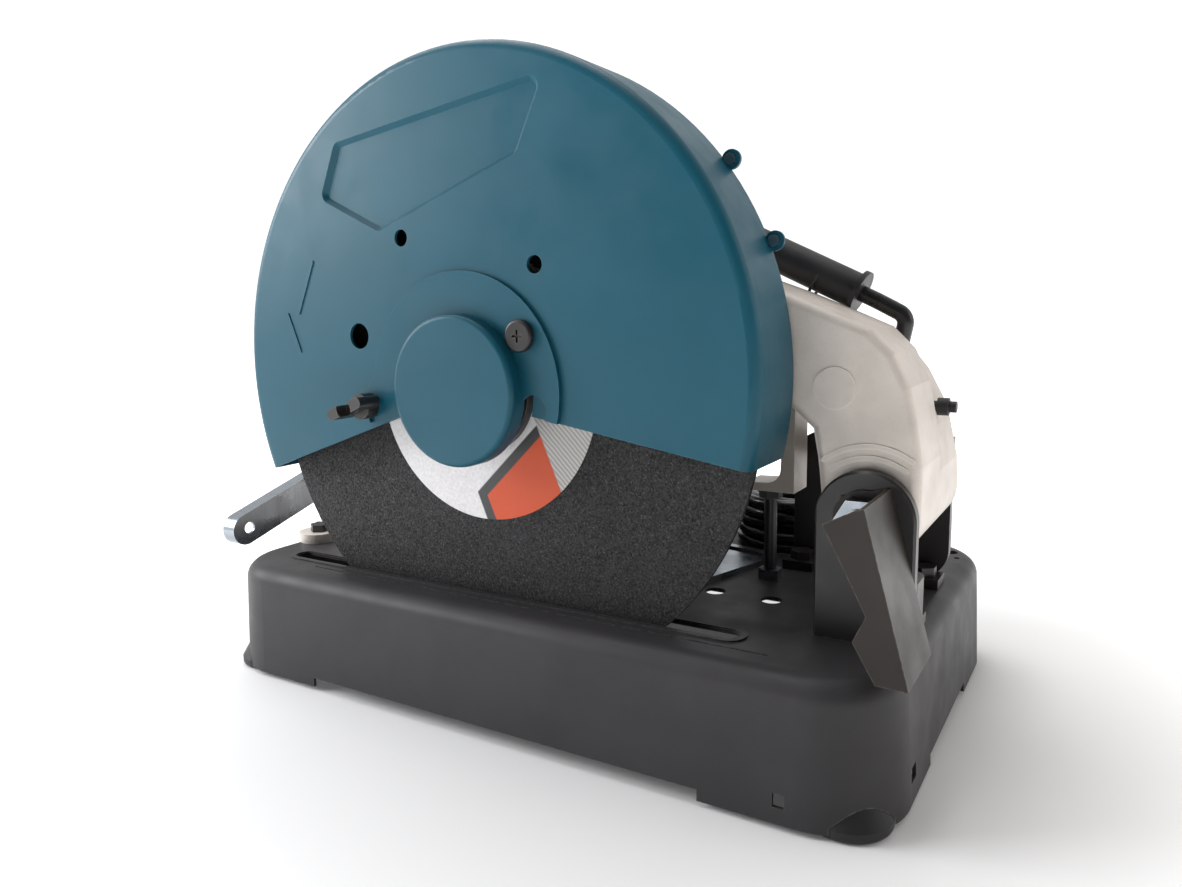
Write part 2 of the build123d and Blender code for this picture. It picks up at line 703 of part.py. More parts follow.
with BuildPart() as motor_end_cap:
    add(turned([(cap_far_x, housing_far_x, housing_r - 2)], motor_axis))
    fillet(motor_end_cap.faces().sort_by(Axis.X)[0].edges(), radius=8)
    add(turned([(cap_far_x + 4, housing_far_x + 1, housing_r - 7)], motor_axis), mode=Mode.SUBTRACT)
    add(turned([(cap_far_x + 3.9, cap_far_x + 24, 18)], motor_axis))
    add(turned([(cap_far_x + 14, cap_far_x + 25, 15)], motor_axis), mode=Mode.SUBTRACT)
    with BuildSketch(side(cap_far_x)):
        with Locations(*[(motor_y, motor_z + dz) for dz in (-33, -25, 25, 33)]):
            SlotOverall(2 * (44 - 14), 4)
        with Locations(*[(motor_y + dy, motor_z + dz) for dy in (-33, 33) for dz in (-16, -8, 0, 8, 16)]):
            SlotOverall(20, 4)
    extrude(amount=6, mode=Mode.SUBTRACT)
save(motor_end_cap, "motor_end_cap")

core_start, core_end = -72.0, -14.0
with BuildPart() as stator:
    add(turned([(core_start, core_end, housing_r - housing_wall)], motor_axis))
    add(turned([(core_start - 1, core_end + 1, 30)], motor_axis), mode=Mode.SUBTRACT)
save(stator, "stator")

with BuildPart() as armature_shaft:
    add(turned([(-125.5, 42.8, 6)], motor_axis))
    with BuildSketch(side(42.8)):
        with BuildLine():
            Polyline(
                *involute_gear(motor_axis, pinion_teeth, motor_angle + 180 + 180 / pinion_teeth), close=True
            )
        make_face()
    extrude(amount=14.4)
save(armature_shaft, "armature_shaft")

with BuildPart() as armature_core:
    add(turned([(core_start - 8, core_end + 8, 23), (core_start, core_end, 28.8)], motor_axis))
    add(turned([(core_start - 20, core_end + 20, 6)], motor_axis), mode=Mode.SUBTRACT)
    with BuildSketch(side(core_start)):
        with Locations(motor_axis):
            with PolarLocations(27.5, 16):
                Rectangle(4, 1.6)
    extrude(amount=core_end - core_start, mode=Mode.SUBTRACT)
save(armature_core, "armature_core")

with BuildPart() as commutator:
    add(turned([(-103, -81, 14)], motor_axis))
    add(turned([(-104, -80, 6)], motor_axis), mode=Mode.SUBTRACT)
save(commutator, "commutator")

with BuildPart() as cooling_fan:
    add(turned([(2, 5, 44), (2, 15, 10)], motor_axis))
    add(turned([(1, 16, 6)], motor_axis), mode=Mode.SUBTRACT)
    with BuildSketch(side(4.8)):
        with Locations(motor_axis):
            with PolarLocations(30, 12):
                Rectangle(24, 2)
    extrude(amount=9)
save(cooling_fan, "cooling_fan")

with BuildPart() as brush_caps:
    for up in (-1, 1):
        with Locations((-91, motor_y, motor_z + up * 46)):
            Cylinder(8.9, 14)
        with Locations((-91, motor_y, motor_z + up * 53)):
            Box(14, 2, 3, mode=Mode.SUBTRACT)
save(brush_caps, "brush_caps")

with BuildPart() as carbon_brushes:
    for up in (-1, 1):
        with Locations((-91, motor_y, motor_z + up * 26.6)):
            Box(12, 7, 24.6)
save(carbon_brushes, "carbon_brushes")

# ---- D-handle: two halves, switch, trigger and lock-off button --------------------------------------
finger_hole = [(-84, 291), (-118, 299), (-145, 312), (-152, 332), (-146, 350), (-128, 354), (-96, 336), (-72, 312)]
with BuildSketch() as handle_profile:
    with BuildLine():
        Polyline(
            (-28, 262), (-72, 262), (-122, 274), (-166, 296), (-181, 328), (-173, 362), (-150, 380),
            (-112, 377), (-58, 346), (4, 292), close=True,
        )
    make_face()
    fillet(handle_profile.vertices().sort_by(Axis.X)[:2], radius=14)
    fillet(handle_profile.vertices().sort_by(Axis.Y)[-2:], radius=12)
    with BuildLine() as finger_line:
        Polyline(*finger_hole, close=True)
    make_face(finger_line.edges(), mode=Mode.SUBTRACT)

grip_cavity = (-166.0, 336.0)
trigger_middle, trigger_size = (-151.0, 331.0), (16.0, 28.0)
button_middle, button_r = (-166.0, 355.0), 4.6
handle_screw_places = [(-60, 280), (-132, 365), (-70, 335), (-128, 286)]


def make_handle_half(outward):
    """One half of the handle, on the side of the split that outward (-1 or +1) points to."""
    with BuildPart() as half:
        with BuildSketch(side(handle_x)):
            add(handle_profile.sketch)
        extrude(amount=outward * handle_half)
        outer = half.faces().filter_by(Axis.X).sort_by(Axis.X)[0 if outward < 0 else -1]
        fillet(outer.edges(), radius=6)
        add(housing_space.part, mode=Mode.SUBTRACT)
        with BuildSketch(side(handle_x)):
            with Locations(grip_cavity):
                Rectangle(18, 50)
            with Locations((trigger_middle[0] - 4, trigger_middle[1])):
                Rectangle(24, trigger_size[1] + 1)
        extrude(amount=outward * 8.5, mode=Mode.SUBTRACT)
        with BuildSketch(side(handle_x)):
            with Locations(*handle_screw_places):
                Circle(2.5)
        extrude(amount=outward * handle_half, mode=Mode.SUBTRACT)
    return half.part


with BuildPart() as handle_left:
    add(make_handle_half(-1))
    with BuildSketch(side(handle_x)):
        with Locations(button_middle):
            Circle(button_r + 0.2)
    extrude(amount=-handle_half - 1, mode=Mode.SUBTRACT)
save(handle_left, "handle_left")

with BuildPart() as handle_right:
    add(make_handle_half(1))
save(handle_right, "handle_right")

with BuildPart() as handle_screws:
    with Locations(*[(handle_x + handle_half, y, z) for y, z in handle_screw_places]):
        add(bolt(2.5, 28, 4.4, 2.4, corners=0), rotation=(0, 90, 0))
save(handle_screws, "handle_screws")

with BuildPart() as switch:
    with Locations((handle_x, -171.2, 331)):
        Box(16, 7, 30)
save(switch, "switch")

with BuildPart() as trigger:
    with BuildSketch(side(handle_x - 8)) as trigger_profile:
        with Locations(trigger_middle):
            Rectangle(*trigger_size)
        fillet(trigger_profile.vertices().sort_by(Axis.X)[-2:], radius=6)
        with Locations((trigger_middle[0] + 24, trigger_middle[1])):
            Circle(20, mode=Mode.SUBTRACT)
    extrude(amount=16)
save(trigger, "trigger")

with BuildPart() as lock_off_button:
    with BuildSketch(side(handle_x - handle_half - 4)):
        with Locations(button_middle):
            Circle(button_r)
    extrude(amount=13)
    fillet(lock_off_button.edges().sort_by(Axis.X)[0], radius=1)
save(lock_off_button, "lock_off_button")

lock_y = wheel_y - 30
with BuildPart() as shaft_lock_pin:
    add(turned([(11, 19, 8), (19, 43, 4)], (lock_y, wheel_z)))
    fillet(shaft_lock_pin.edges().sort_by(Axis.X)[0], radius=1.5)
save(shaft_lock_pin, "shaft_lock_pin")

# ---- guard: shell, back plate, swinging centre cover --------------------------------------------------
clamp_nut_x = guard_face_x - guard_wall  # back of the guard's face, where the weld nut sits
panel_depth = 2.8
cover_gap = 0.3
plate_x = guard_face_x + cover_gap
cover_plate_t, cap_face_x, cap_r = 2.0, 138.9, 44.3
cover_pivot, clamp = (26.5, 236.5), (-92.0, 193.0)
guard_axis = (guard_y, guard_z)
far = 400.0
guard_mouth = [guard_apex, polar(guard_apex, far, guard_front_angle), (guard_apex[0] - far, -far),
               (guard_apex[0] + far, -far), polar(guard_apex, far, guard_rear_angle)]

with BuildPart() as guard_inside:
    add(turned([(guard_back_x - 5, guard_face_x - guard_wall, guard_r - guard_wall)], guard_axis))
    fillet(guard_inside.edges().filter_by(GeomType.CIRCLE).sort_by(Axis.X)[-1], radius=4.5)

with BuildPart() as mouth_space:
    with BuildSketch(side(guard_back_x - 10)):
        with BuildLine():
            Polyline(*guard_mouth, close=True)
        make_face()
    extrude(amount=80)

with BuildPart() as panel_pressing:  # the panel pressed into the guard's face, with sloping sides
    with BuildSketch(side(guard_face_x)) as panel:
        with BuildLine():
            Polyline((-127, 321), (-112, 353.5), (45, 374), (25, 334), (-79, 298.5), close=True)
        make_face()
        fillet(panel.vertices(), radius=6)
    extrude(amount=-panel_depth, taper=45)

with BuildPart() as guard_shell:
    add(turned([(guard_back_x, guard_face_x, guard_r)], guard_axis))
    fillet(guard_shell.edges().filter_by(GeomType.CIRCLE).sort_by(Axis.X)[-1], radius=6)
    add(guard_inside.part, mode=Mode.SUBTRACT)
    add(panel_pressing.part.moved(Location((-guard_wall, 0, 0))))
    add(panel_pressing.part, mode=Mode.SUBTRACT)
    add(mouth_space.part, mode=Mode.SUBTRACT)
    with BuildSketch(side(guard_face_x)):
        with Locations((wheel_y, wheel_z)):
            Circle(50)
        with Locations((-61, 294), (35, 275)):
            Circle(5)
        with Locations((-100, 236)):
            Circle(8)
        with Locations(cover_pivot):
            Circle(3)
    extrude(amount=-2 * guard_wall, mode=Mode.SUBTRACT)
    with BuildSketch(side(clamp_nut_x)):
        with Locations(clamp):
            RegularPolygon(8, 6)
    extrude(amount=-5)
    add(turned([(clamp_nut_x - 8, guard_face_x + 1, 4 + running)], clamp), mode=Mode.SUBTRACT)
    with BuildSketch(side(guard_face_x)):
        with Locations((-145.7, 267)):
            SlotOverall(37.5, 2.2, rotation=64)
        with Locations((-159.6, 238)):
            SlotOverall(27.7, 2.2, rotation=-68)
    extrude(amount=0.7)
save(guard_shell, "guard_shell")

rim_screw_places = [polar(guard_axis, guard_r + 3.2, angle) for angle in (22, 37, 85, 135, 180)]
with BuildPart() as guard_back:
    with BuildSketch(side(guard_back_x - 2)):
        with Locations(guard_axis):
            Circle(guard_r)
        with Locations(*rim_screw_places):
            Circle(5.2)
            Circle(2, mode=Mode.SUBTRACT)
        with BuildLine():
            Polyline(*guard_mouth, close=True)
        make_face(mode=Mode.SUBTRACT)
        with Locations((wheel_y, wheel_z)):
            Circle(60)
            Circle(30, mode=Mode.SUBTRACT)
        with Locations((motor_y, motor_z)):
            Circle(40.5, mode=Mode.SUBTRACT)
    extrude(amount=2)
    add(gear_cover.part, mode=Mode.SUBTRACT)
save(guard_back, "guard_back")

with BuildPart() as guard_screws:
    for rim_y, rim_z in rim_screw_places:
        with Locations((guard_back_x, rim_y, rim_z)):
            add(bolt(2, 5, 3, 2.4, corners=0), rotation=(0, 90, 0))
save(guard_screws, "guard_screws")

with BuildPart() as centre_cover:
    with BuildSketch(side(plate_x)):
        with Locations((wheel_y, wheel_z)):
            Circle(68.5)
        with Locations(clamp):
            Circle(11)
        with BuildLine():
            Polyline((-94, 203), (-60, 240), (-40, 200), (-60, 175), (-92, 182), close=True)
        make_face()
        with BuildLine():
            Polyline(*guard_mouth, close=True)
        make_face(mode=Mode.SUBTRACT)
        with Locations(cover_pivot):
            Circle(3 + running, mode=Mode.SUBTRACT)
        with Locations(clamp):
            Circle(4.3, mode=Mode.SUBTRACT)
        with BuildLine():
            Polyline((-96.1, 191.6), (-87.9, 194.4), (-78, 168), (-86, 165), close=True)
        make_face(mode=Mode.SUBTRACT)
        with Locations((33, 195)):
            Circle(9, mode=Mode.SUBTRACT)
    extrude(amount=cover_plate_t)
    add(turned([(plate_x, cap_face_x, cap_r)], spindle_axis))
    fillet(centre_cover.faces().sort_by(Axis.X)[-1].edges(), radius=3)
    add(turned([(plate_x - 1, cap_face_x - 2, cap_r - 2)], spindle_axis), mode=Mode.SUBTRACT)
save(centre_cover, "centre_cover")

with BuildPart() as cover_screw:
    with Locations((plate_x + cover_plate_t + 0.2, *cover_pivot)):
        add(bolt(3, 8, 9, 4, corners=0), rotation=(0, 90, 0))
    fillet(cover_screw.edges().sort_by(Axis.X)[-1], radius=1.5)
    with Locations((plate_x + cover_plate_t + 4.2, *cover_pivot)):
        Box(3, 7, 1.4, mode=Mode.SUBTRACT)
        Box(3, 1.4, 7, mode=Mode.SUBTRACT)
save(cover_screw, "cover_screw")

with BuildPart() as wing_bolt:
    add(turned([(clamp_nut_x - 6, 136, 4), (plate_x + cover_plate_t + 0.1, 138, 8)], clamp))
    with BuildSketch(side(134)):
        with Locations(clamp):
            SlotOverall(30, 7, rotation=20)
    extrude(amount=17)
    with BuildSketch(Plane(origin=(152, *clamp), x_dir=(0, cos(radians(20)), sin(radians(20))), z_dir=(1, 0, 0))):
        Circle(6)
    extrude(amount=-9, mode=Mode.SUBTRACT)
save(wing_bolt, "wing_bolt")

# ---- spark guard, hung on the pivot shaft ---------------------------------------------------------
spark_near_x, spark_x, spark_t = 84.2, 135.0, 1.6
with BuildPart() as spark_guard:
    with BuildSketch(side(spark_near_x)):
        with BuildLine():
            Polyline((215, 160), (217, 160), (239, 78), (237, 77.5), close=True)
        make_face()
    extrude(amount=spark_x - spark_near_x)
    with BuildSketch(side(spark_x - spark_t)):
        with BuildLine():
            Polyline(
                (198, 151), (213, 159), (217, 160), (239, 78), (224, 78), (213, 97), (219, 110), (215, 118),
                close=True,
            )
        make_face()
    extrude(amount=spark_t)
    with BuildSketch(side(spark_near_x)):
        with BuildLine():
            Polyline((192, 154), (215, 160), (217, 160), (226, 126), (196, 126), close=True)
        make_face()
        with Locations((pivot_y, pivot_z)):
            Circle(16)
            Circle(shaft_r + running, mode=Mode.SUBTRACT)
    extrude(amount=spark_t)
save(spark_guard, "spark_guard")

# ---- mains cord: gland, free stretch, coil, tail and plug -------------------------------------------
with BuildPart() as cord_gland:
    with BuildSketch(Plane.XY.offset(gland_z)):
        with BuildLine():
            Polyline(
                (arm_far_x + 8, gland_y), (arm_far_x + 8, gland_y + 5.8), (arm_far_x, gland_y + 5.8),
                (arm_far_x, gland_y + 8.5), (arm_far_x - 4, gland_y + 8.5), (gland_end_x, gland_y + 5.2),
                (gland_end_x, gland_y), close=True,
            )
        make_face()
    revolve(axis=Axis((0, gland_y, gland_z), (1, 0, 0)))
save(cord_gland, "cord_gland")


def arc_radii(points):
    """The largest arc that each corner's two runs allow: 0.45 of the shorter run over tan(half the turn)."""
    radii = []
    for before, corner, after in zip(points, points[1:], points[2:]):
        run_in, run_out = Vector(corner) - Vector(before), Vector(after) - Vector(corner)
        half_turn = radians(run_in.get_angle(run_out)) / 2
        radii.append(0.45 * min(run_in.length, run_out.length) / tan(half_turn))
    return radii


def lay_cord(points):
    """A round cord along straight runs joined by tangent arcs."""
    with BuildPart() as cord:
        with BuildLine() as route:
            FilletPolyline(*points, radius=arc_radii(points))
        with BuildSketch(Plane(origin=route.line @ 0, z_dir=route.line % 0)):
            Circle(cord_d / 2)
        sweep()
    return cord.part


free_route = [
    (gland_end_x, gland_y, gland_z), (-110, 186, 200), (-134, 180, 172), (-139, 165, 140), (-138, 143, 116),
    (-136, 114, 110),
]
tail_route = [(-138, 104, 81), (-135, 76, 82), (-127, 50, 84.5), (-121, 24, 84.5)]

with BuildPart() as cord_free:
    add(lay_cord(free_route))
save(cord_free, "cord_free")

with BuildPart() as cord_coil:
    with Locations((coil_x, coil_y, base_height + coil_layers * cord_d / 2)):
        Cylinder(coil_r + cord_d, coil_layers * cord_d)
        Cylinder(coil_r - cord_d, 2 * coil_layers * cord_d, mode=Mode.SUBTRACT)
save(cord_coil, "cord_coil")

with BuildPart() as cord_tail:
    add(lay_cord(tail_route))
save(cord_tail, "cord_tail")

plug_end = Vector(*tail_route[-1])
plug_way = (plug_end - Vector(*tail_route[-2])).normalized()
plug_plane = Plane(origin=plug_end, x_dir=(plug_way.Y, -plug_way.X, 0), z_dir=(plug_way.X, plug_way.Y, 0))
plug_flat = plug_plane.offset(30)
with BuildPart() as plug_body:
    with BuildSketch(plug_plane):
        Circle(4.4)
    with BuildSketch(plug_flat):
        RectangleRounded(33, 13, 6)
    loft()
    with BuildSketch(plug_flat):
        RectangleRounded(35.5, 13.7, 6.5)
    extrude(amount=12)
save(plug_body, "plug_body")

with BuildPart() as plug_pins:
    with BuildSketch(plug_flat.offset(12)):
        with Locations((-9.3, 0), (9.3, 0)):
            Circle(2.4)
    extrude(amount=19)
save(plug_pins, "plug_pins")
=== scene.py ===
"""Abrasive chop saw: finishes, cord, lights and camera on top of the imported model."""

import json
from math import cos, pi, radians, sin

import bmesh
import bpy
from mathutils import Matrix, Vector


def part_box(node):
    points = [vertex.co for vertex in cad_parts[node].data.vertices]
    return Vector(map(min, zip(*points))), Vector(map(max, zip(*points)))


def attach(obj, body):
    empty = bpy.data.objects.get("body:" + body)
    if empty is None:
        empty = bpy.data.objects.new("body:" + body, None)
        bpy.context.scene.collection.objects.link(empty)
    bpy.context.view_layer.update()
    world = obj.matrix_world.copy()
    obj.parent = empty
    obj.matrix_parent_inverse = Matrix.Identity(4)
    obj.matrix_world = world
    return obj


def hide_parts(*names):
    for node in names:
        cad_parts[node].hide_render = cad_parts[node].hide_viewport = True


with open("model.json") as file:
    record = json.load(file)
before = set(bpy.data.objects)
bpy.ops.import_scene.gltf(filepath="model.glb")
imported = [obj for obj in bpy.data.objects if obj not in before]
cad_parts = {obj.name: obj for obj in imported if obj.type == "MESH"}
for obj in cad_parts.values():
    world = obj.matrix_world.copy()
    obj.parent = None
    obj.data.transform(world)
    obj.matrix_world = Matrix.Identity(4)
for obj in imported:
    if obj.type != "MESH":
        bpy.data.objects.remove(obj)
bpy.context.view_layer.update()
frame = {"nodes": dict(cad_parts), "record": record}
nodes = frame["nodes"]
MM = 0.001


def corners_of(node):
    """Low and high corner of a CAD node's box."""
    return tuple(Vector(corner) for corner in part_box(node))


# ---------------------------------------------------------------- camera
CAMERA_AT = Vector((0.5301, 0.3180, 0.2541))
CAMERA_YAW, CAMERA_PITCH, CAMERA_ROLL = 0.553, 0.157, -0.020  # radians
LENS, SENSOR_WIDTH = 27.18, 36  # mm


def set_camera():
    forward = Vector(
        (
            -cos(CAMERA_YAW) * cos(CAMERA_PITCH),
            -sin(CAMERA_YAW) * cos(CAMERA_PITCH),
            -sin(CAMERA_PITCH),
        )
    )
    level_right = forward.cross(Vector((0, 0, 1))).normalized()
    level_up = level_right.cross(forward)
    right = level_right * cos(CAMERA_ROLL) + level_up * sin(CAMERA_ROLL)
    up = level_up * cos(CAMERA_ROLL) - level_right * sin(CAMERA_ROLL)
    data = bpy.data.cameras.new("camera")
    data.sensor_width = SENSOR_WIDTH
    data.sensor_fit = "HORIZONTAL"
    data.lens = LENS
    data.clip_start, data.clip_end = 0.02, 100
    camera = bpy.data.objects.new("camera", data)
    turn = Matrix((right, up, -forward)).transposed().to_4x4()
    camera.matrix_world = Matrix.Translation(CAMERA_AT) @ turn
    bpy.context.scene.collection.objects.link(camera)
    bpy.context.scene.camera = camera


# ---------------------------------------------------------------- node helpers
NOISE_ROUGHNESS = 0.55
FLAT_DOT, EDGE_DOT = 0.995, 0.82  # how far the bevelled normal agrees with the real one
COATING_EDGE, METAL_EDGE, CAST_EDGE = 0.0009, 0.0006, 0.0014  # m, width of the edge bands painted lighter: wear and painted highlight on paint, painted highlight on metal and casting
DRAWN_LINES = (900, 30, 30)  # per metre: fine along X, long along Y and Z
GRAINS = 1100  # abrasive grains per metre


class Finish:
    """A node material that is built up one effect at a time."""

    def __init__(self, name):
        self.material = bpy.data.materials.new(name)
        self.material.use_nodes = True
        self.tree = self.material.node_tree
        self.shader = self.tree.nodes["Principled BSDF"]
        self.place = self.add("ShaderNodeTexCoord").outputs["Object"]

    def add(self, kind, **settings):
        node = self.tree.nodes.new(kind)
        for key, value in settings.items():
            setattr(node, key, value)
        return node

    def join(self, source, target):
        self.tree.links.new(source, target)

    def noise(self, scale, detail, stretch=None):
        """Noise whose features are about 1 / scale metres across."""
        texture = self.add("ShaderNodeTexNoise")
        texture.inputs["Scale"].default_value = scale
        texture.inputs["Detail"].default_value = detail
        texture.inputs["Roughness"].default_value = NOISE_ROUGHNESS
        place = self.place
        if stretch:
            mapping = self.add("ShaderNodeMapping")
            mapping.inputs["Scale"].default_value = stretch
            self.join(place, mapping.inputs["Vector"])
            place = mapping.outputs["Vector"]
        self.join(place, texture.inputs["Vector"])
        return texture.outputs["Fac"]

    def cells(self, scale, output):
        """Packed cells about 1 / scale metres across: Distance from the middle, or one Color each."""
        texture = self.add("ShaderNodeTexVoronoi")
        texture.inputs["Scale"].default_value = scale
        self.join(self.place, texture.inputs["Vector"])
        return texture.outputs[output]

    def fit(self, value, low, high, to_low, to_high, smooth=False):
        """Value from low..high to to_low..to_high, clamped."""
        node = self.add("ShaderNodeMapRange")
        if smooth:
            node.interpolation_type = "SMOOTHSTEP"
        for key, number in zip(
            ("From Min", "From Max", "To Min", "To Max"), (low, high, to_low, to_high)
        ):
            node.inputs[key].default_value = number
        self.join(value, node.inputs["Value"])
        return node.outputs["Result"]

    def math(self, operation, a, b):
        """Each of a and b is a number or an output of a node."""
        node = self.add("ShaderNodeMath", operation=operation)
        for socket, value in zip(node.inputs, (a, b)):
            if isinstance(value, (int, float)):
                socket.default_value = value
            else:
                self.join(value, socket)
        return node.outputs[0]

    def mix(self, amount, a, b):
        """Colour a where amount is 0, b where it is 1."""
        node = self.add("ShaderNodeMix", data_type="RGBA")
        self.join(amount, node.inputs["Factor"])
        for socket, value in ((node.inputs[6], a), (node.inputs[7], b)):
            if isinstance(value, (tuple, list)):
                socket.default_value = (*value, 1)
            else:
                self.join(value, socket)
        return node.outputs[2]

    def edges(self, width):
        """1 along convex and concave edges, 0 on flats."""
        bevel = self.add("ShaderNodeBevel", samples=4)
        bevel.inputs["Radius"].default_value = width
        flat = self.add("ShaderNodeNewGeometry").outputs["Normal"]
        dot = self.add("ShaderNodeVectorMath", operation="DOT_PRODUCT")
        self.join(bevel.outputs["Normal"], dot.inputs[0])
        self.join(flat, dot.inputs[1])
        return self.fit(dot.outputs["Value"], FLAT_DOT, EDGE_DOT, 0, 1)

    def colour(self, value):
        self.join(value, self.shader.inputs["Base Color"])

    def rough(self, value):
        self.join(value, self.shader.inputs["Roughness"])

    def bump(self, height, depth, strength):
        node = self.add("ShaderNodeBump")
        node.inputs["Strength"].default_value = strength
        node.inputs["Distance"].default_value = depth
        self.join(height, node.inputs["Height"])
        self.join(node.outputs["Normal"], self.shader.inputs["Normal"])


def tint(colour, factor):
    return tuple(min(1.0, c * factor) for c in colour)


def coated(name, colour, rough, grain=900, depth=0.00004, mottle=0.12, edge_wear_and_highlight=None, shine=0.5):
    """Paint or moulded plastic: fine orange peel, soft blotches, and lighter edges, partly rubbed wear
    and partly painted highlight.
    """
    f = Finish(name)
    blotch = f.fit(f.noise(14, 4), 0.3, 0.7, 0, 1, smooth=True)
    base = f.mix(blotch, tint(colour, 1 - mottle), tint(colour, 1 + mottle))
    fine = f.fit(f.noise(grain, 2), 0.35, 0.65, 0, 1)
    base = f.mix(f.math("MULTIPLY", fine, 0.3), base, tint(colour, 1 + 1.5 * mottle))
    if edge_wear_and_highlight:
        # edges painted lighter: rubbed wear where the noise breaks through, and a painted highlight
        # along every edge
        broken = f.fit(f.noise(260, 4), 0.42, 0.6, 0.15, 1)
        base = f.mix(f.math("MULTIPLY", f.edges(COATING_EDGE), broken), base, edge_wear_and_highlight)
    f.colour(base)
    smudge = f.noise(38, 4)
    f.rough(f.fit(smudge, 0.3, 0.7, rough - 0.07, rough + 0.08))
    f.shader.inputs["Specular IOR Level"].default_value = shine
    f.bump(f.noise(grain, 3), depth, 0.7)
    return f.material


def bare_metal(name, colour, rough):
    """Turned, ground or plated steel: fine drawn lines, uneven tarnish and edges painted brighter as a
    highlight.
    """
    f = Finish(name)
    drawn = f.noise(1.0, 4, stretch=DRAWN_LINES)
    tarnish = f.fit(f.noise(60, 5), 0.3, 0.75, 0, 1)
    base = f.mix(drawn, tint(colour, 0.7), tint(colour, 1.12))
    base = f.mix(f.math("MULTIPLY", tarnish, 0.35), base, tint(colour, 0.5))
    # painted highlight: every edge painted brighter
    base = f.mix(f.edges(METAL_EDGE), base, tint(colour, 1.4))
    f.colour(base)
    f.rough(f.fit(tarnish, 0, 1, rough - 0.06, rough + 0.12))
    f.shader.inputs["Metallic"].default_value = 1.0
    f.bump(drawn, 0.00002, 0.6)
    return f.material


def cast_metal():
    """Die-cast alloy with a warm grey silver coat, faint pits and edges and ridges painted lighter as a
    highlight.
    """
    f = Finish("cast_alloy")
    colour = (0.71, 0.645, 0.585)
    blotch = f.fit(f.noise(18, 5), 0.3, 0.7, 0, 1, smooth=True)
    base = f.mix(blotch, tint(colour, 0.88), tint(colour, 1.1))
    pits = f.fit(f.cells(700, "Distance"), 0.0, 0.35, 1, 0)
    base = f.mix(f.math("MULTIPLY", pits, 0.22), base, tint(colour, 0.6))
    # painted highlight: edges and ridges painted lighter
    base = f.mix(f.math("MULTIPLY", f.edges(CAST_EDGE), 0.8), base, (0.82, 0.78, 0.72))
    f.colour(base)
    f.rough(f.fit(f.noise(120, 4), 0.3, 0.7, 0.34, 0.52))
    f.shader.inputs["Metallic"].default_value = 0.15
    f.bump(f.math("ADD", f.noise(1100, 3), f.math("MULTIPLY", pits, -0.6)), 0.00007, 0.7)
    return f.material


def grit():
    """Resin-bonded abrasive: packed dark grains, a few of them painted lighter as glints."""
    f = Finish("abrasive")
    grain = f.cells(GRAINS, "Distance")
    shade = f.cells(GRAINS, "Color")
    split = f.add("ShaderNodeSeparateColor")
    f.join(shade, split.inputs["Color"])
    base = f.fit(split.outputs["Red"], 0, 1, 0, 1)
    base = f.mix(base, (0.004, 0.004, 0.0045), (0.012, 0.0115, 0.0125))
    # painted highlight: a few grains painted lighter as glints
    painted_glint = f.fit(split.outputs["Green"], 0.8, 1.0, 0, 1)
    base = f.mix(painted_glint, base, (0.040, 0.039, 0.041))
    base = f.mix(f.fit(f.noise(25, 3), 0.4, 0.7, 0, 0.35), base, (0.021, 0.0205, 0.022))
    f.colour(base)
    f.rough(f.fit(split.outputs["Blue"], 0, 1, 0.45, 0.95))
    f.bump(f.math("ADD", f.fit(grain, 0, 0.6, 1, 0), f.noise(2200, 2)), 0.00025, 0.9)
    return f.material


LABEL_TIP, LABEL_OUTER = (0.042, -0.027), (0.0551, -0.0583)  # m from the label's middle: y, z
WEDGE_ELBOW, WEDGE_FOOT = (0.0014, -0.066), (0.0068, -0.0786)
BAND_TIP, BAND_ELBOW, BAND_FOOT = (0.034, -0.026), (-0.0061, -0.0645), (0.0007, -0.0809)
WEAVE_START = 0.02  # m from the label's middle along Y
LABEL_BLUR, WEAVE_BLUR = 0.0004, 0.0005  # m, half the width over which one colour meets the next


